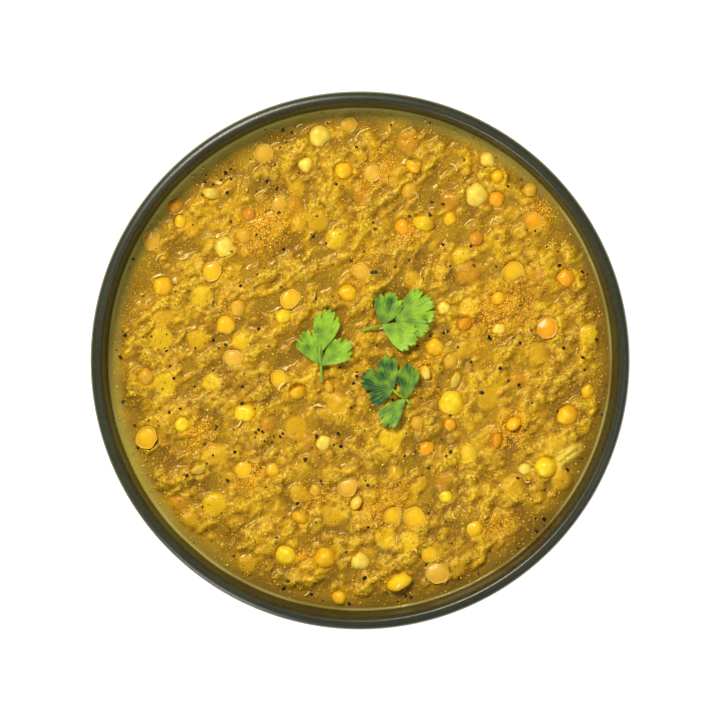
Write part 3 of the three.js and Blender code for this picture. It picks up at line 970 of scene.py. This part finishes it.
# %% Grow the leaves on the dal
leaf_trees = []
for name, shape in LEAVES.items():
    leaf = bmesh.new()
    light_layer = leaf.verts.layers.float.new("light")
    vein_layer = leaf.verts.layers.float.new("vein")
    low, high = (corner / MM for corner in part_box(name))
    fx = low.x + shape["fork"][0] * (high.x - low.x)
    fy = low.y + shape["fork"][1] * (high.y - low.y)
    under = []
    for settings in shape["blades"]:
        turn = math.radians(settings["bearing"])
        for share in (0.2, 0.5, 0.8):
            x = fx + settings["base"][0] + share * settings["length"] * math.cos(turn)
            y = fy + settings["base"][1] + share * settings["length"] * math.sin(turn)
            under.append(surface(x, y))
    rest = max(under)
    for layer, settings in enumerate(shape["blades"]):
        blade(leaf, light_layer, vein_layer, (fx, fy), rest + BLADE_STEP * layer, **settings)
    lower = bmesh.ops.extrude_face_region(leaf, geom=list(leaf.faces), use_keep_orig=True)["geom"]
    lower = [item for item in lower if isinstance(item, bmesh.types.BMVert)]
    bmesh.ops.translate(leaf, verts=lower, vec=(0, 0, -LEAF_THICKNESS))
    for points in shape["stalks"]:
        stalk(leaf, light_layer, (fx, fy), rest, points)
    bmesh.ops.recalc_face_normals(leaf, faces=leaf.faces)
    mesh = bpy.data.meshes.new(name)
    leaf.to_mesh(mesh)
    leaf.free()
    new_name = name.replace("coriander_leaf", "fresh_coriander")
    grown = finish(mesh, new_name, coriander, [name])
    leaf_trees.append(BVHTree.FromObject(grown, bpy.context.evaluated_depsgraph_get()))

# %% [markdown]
# ## Grains, pepper and herbs
# Crumbs of mash, grains of spice, cracked pepper and flecks of dried herb lie loose on top. Each
# kind is one mesh of small rough stones, thrown by a seeded scatter and dropped on the surface.

# %% Scatter
SCATTER_REACH = 0.985
TRIES_PER_GRAIN = 40


def under_leaf(x, y):
    """Whether a leaf covers this place."""
    above = Vector((x * MM, y * MM, 2 * BOWL_HEIGHT * MM))
    return any(tree.ray_cast(above, Vector((0, 0, -1)))[0] for tree in leaf_trees)


def throw(count, sizes, colours, rng, share=None, flat=0.8, sink=0.15, skew=1.0):
    """Places and tints for small grains dropped on the dal, thickest where share is high."""
    tries = TRIES_PER_GRAIN * count
    reach, angle = SCATTER_REACH * np.sqrt(rng.random(tries)), 2 * math.pi * rng.random(tries)
    xs, ys = spot(np.degrees(angle), reach)
    kept = rng.random(tries) < (share(xs, ys) if share else 1)
    places, tints = [], []
    for x, y in zip(xs[kept][:count], ys[kept][:count]):
        if under_leaf(x, y):
            continue
        size = sizes[0] + (sizes[1] - sizes[0]) * rng.random() ** skew
        grow = Matrix.Diagonal((size * rng.uniform(0.6, 1.5), size, size * flat, 1))
        turn = Euler((rng.uniform(-0.5, 0.5), rng.uniform(-0.5, 0.5), rng.uniform(0, 6.3)))
        lift = surface(x, y) + (0.5 - sink) * size * flat
        places.append(Matrix.Translation((x, y, lift)) @ turn.to_matrix().to_4x4() @ grow)
        tints.append(colours[rng.integers(len(colours))])
    return places, tints


def stone():
    """A rough stone, before its dents."""
    shape = bmesh.new()
    bmesh.ops.create_icosphere(shape, subdivisions=1, radius=0.5)
    return shape


def curl():
    """A shred of skin: a strip bent into an arc and cupped along its length."""
    shape = bmesh.new()
    bmesh.ops.create_grid(shape, x_segments=10, y_segments=2, size=0.5)
    for vert in shape.verts:
        angle = 2.2 * vert.co.x
        width = 0.28 * vert.co.y * (1 - 3.4 * vert.co.x ** 2)
        reach = 0.42 + width
        vert.co = (reach * math.sin(angle), reach * math.cos(angle) - 0.35, 0.25 - 8 * width ** 2)
    upper = bmesh.ops.extrude_face_region(shape, geom=list(shape.faces), use_keep_orig=True)["geom"]
    upper = [item for item in upper if isinstance(item, bmesh.types.BMVert)]
    bmesh.ops.translate(shape, verts=upper, vec=(0, 0, 0.06))
    bmesh.ops.recalc_face_normals(shape, faces=shape.faces)
    return shape


# %% Materials of the loose grains
def grain_material(name, roughness, coat):
    """A wet grain whose colour is its own tint."""
    material, shader = blank_material(name, {"Roughness": roughness, "Coat Weight": coat})
    plug(material, shader.inputs["Base Color"], stored(material, "tint", "Color"))
    return material


spice = grain_material("ground_turmeric_and_chilli", 0.6, 0.0)
crumb = grain_material("boiled_pea_crumbs", 0.35, 0.4)
pepper = grain_material("cracked_black_pepper", 0.9, 0.0)
herb = grain_material("dried_herb_flecks", 0.5, 0.2)
skin = grain_material("boiled_pea_skins", 0.35, 0.3)

# %% Throw them
rng = np.random.default_rng(23)
spice_colours = ("#ffc21c", "#ffce24", "#f2b012", "#ffdc38", "#cc8a10")
grains = throw(6000, (0.22, 0.55), spice_colours, rng, lambda x, y: spread(SPICE_PATCHES, 0.05, x, y) ** 1.5)
finish(copies(stone(), *grains, roughness=0.3), "spice_grains", spice)
crumb_colours = ("#d8a824", "#e6c02c", "#efcf40", "#c99820", "#dc9a1c")
crumbs = throw(2600, (0.3, 0.8), crumb_colours, rng, sink=0.3)
finish(copies(stone(), *crumbs, roughness=0.35), "mash_crumbs", crumb)
pepper_colours = ("#140d06", "#26160a", "#1c1108", "#3d2210")
pepper_grains = throw(470, (0.3, 1.3), pepper_colours, rng, lambda x, y: spread(PEPPER_PATCHES, 0.15, x, y),
                      flat=0.45, skew=2.2)
finish(copies(stone(), *pepper_grains, roughness=0.5), "pepper_grains", pepper)
skin_colours = ("#e6c658", "#d8b440", "#ecd274")
skins = throw(26, (1.8, 3.6), skin_colours, rng, flat=0.5, sink=0.1)
finish(copies(curl(), *skins, roughness=0.2), "pea_skins", skin)
herb_colours = ("#1f3a14", "#2d4a1a", "#16240f")
herb_flecks = throw(55, (0.6, 1.5), herb_colours, rng, flat=0.25)
finish(copies(stone(), *herb_flecks, roughness=0.5), "herb_flecks", herb)
